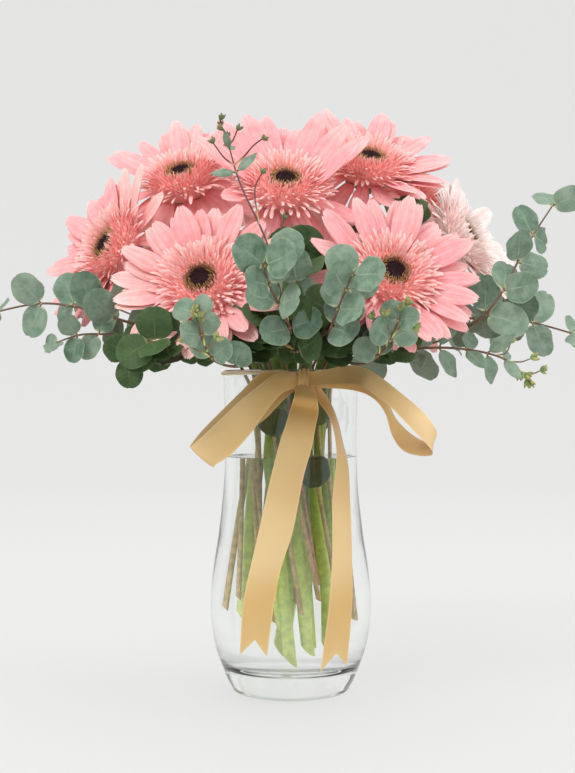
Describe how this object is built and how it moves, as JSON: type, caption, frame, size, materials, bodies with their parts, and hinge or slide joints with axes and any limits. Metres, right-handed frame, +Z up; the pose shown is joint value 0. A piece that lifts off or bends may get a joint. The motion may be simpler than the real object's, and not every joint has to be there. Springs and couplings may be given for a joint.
{
  "type": "gerberas in a vase",
  "caption": "Bunch of double gerberas and round-leaved eucalyptus standing in a clear glass vase of water, with a satin ribbon tied in a bow round its neck.",
  "frame": {"origin": "centre of the vase's flat underside", "axes": "+Z up; +X to the right as the bow's side is seen from the front, along the widest spread of the foliage; the bow and the front of the bunch face -Y"},
  "size_m": [0.4002, 0.2974, 0.3667],
  "materials": {
    "clear_glass": "polished clear glass",
    "water": "clear still water",
    "gold_satin": "gold satin ribbon",
    "pink_rays": "matt pink petals with coral fringe florets",
    "pale_pink_rays": "matt pale cream-pink petals",
    "dark_disc": "dark maroon disc florets with a tan ring",
    "green_stalk": "smooth light green stalk",
    "dark_leaf": "satin dark green leaf",
    "grey_green_leaf": "waxy grey-green leaf on a thin brown stem"
  },
  "bodies": {
    "root": {"bloom_back": "pink_rays", "bloom_back_left": "pink_rays", "bloom_back_right": "pink_rays", "bloom_behind_right": "pink_rays", "bloom_front_left": "pink_rays", "bloom_front_right": "pink_rays", "bloom_left": "pink_rays", "bloom_right_pale": "pale_pink_rays", "bloom_top_centre": "pink_rays", "bloom_top_left": "pink_rays", "bloom_top_right": "pink_rays", "disc_back": "dark_disc", "disc_back_left": "dark_disc", "disc_back_right": "dark_disc", "disc_behind_right": "dark_disc", "disc_front_left": "dark_disc", "disc_front_right": "dark_disc", "disc_left": "dark_disc", "disc_right_pale": "dark_disc", "disc_top_centre": "dark_disc", "disc_top_left": "dark_disc", "disc_top_right": "dark_disc", "eucalyptus_back_left": "grey_green_leaf", "eucalyptus_back_low": "grey_green_leaf", "eucalyptus_back_middle": "grey_green_leaf", "eucalyptus_back_right": "grey_green_leaf", "eucalyptus_front_left_budded": "grey_green_leaf", "eucalyptus_front_middle_left": "grey_green_leaf", "eucalyptus_front_middle_right": "grey_green_leaf", "eucalyptus_front_right_budded": "grey_green_leaf", "eucalyptus_left_dark": "dark_leaf", "eucalyptus_left_long": "grey_green_leaf", "eucalyptus_left_low": "grey_green_leaf", "eucalyptus_low_centre": "dark_leaf", "eucalyptus_middle_dark": "dark_leaf", "eucalyptus_right_high": "grey_green_leaf", "eucalyptus_right_long": "grey_green_leaf", "eucalyptus_right_low": "grey_green_leaf", "eucalyptus_top_twig": "grey_green_leaf", "ribbon": "gold_satin", "stalk_back": "green_stalk", "stalk_back_left": "green_stalk", "stalk_back_right": "green_stalk", "stalk_behind_right": "green_stalk", "stalk_front_left": "green_stalk", "stalk_front_right": "green_stalk", "stalk_left": "green_stalk", "stalk_right_pale": "green_stalk", "stalk_top_centre": "green_stalk", "stalk_top_left": "green_stalk", "stalk_top_right": "green_stalk", "vase": "clear_glass", "water": "water"}
  },
  "joints": []
}
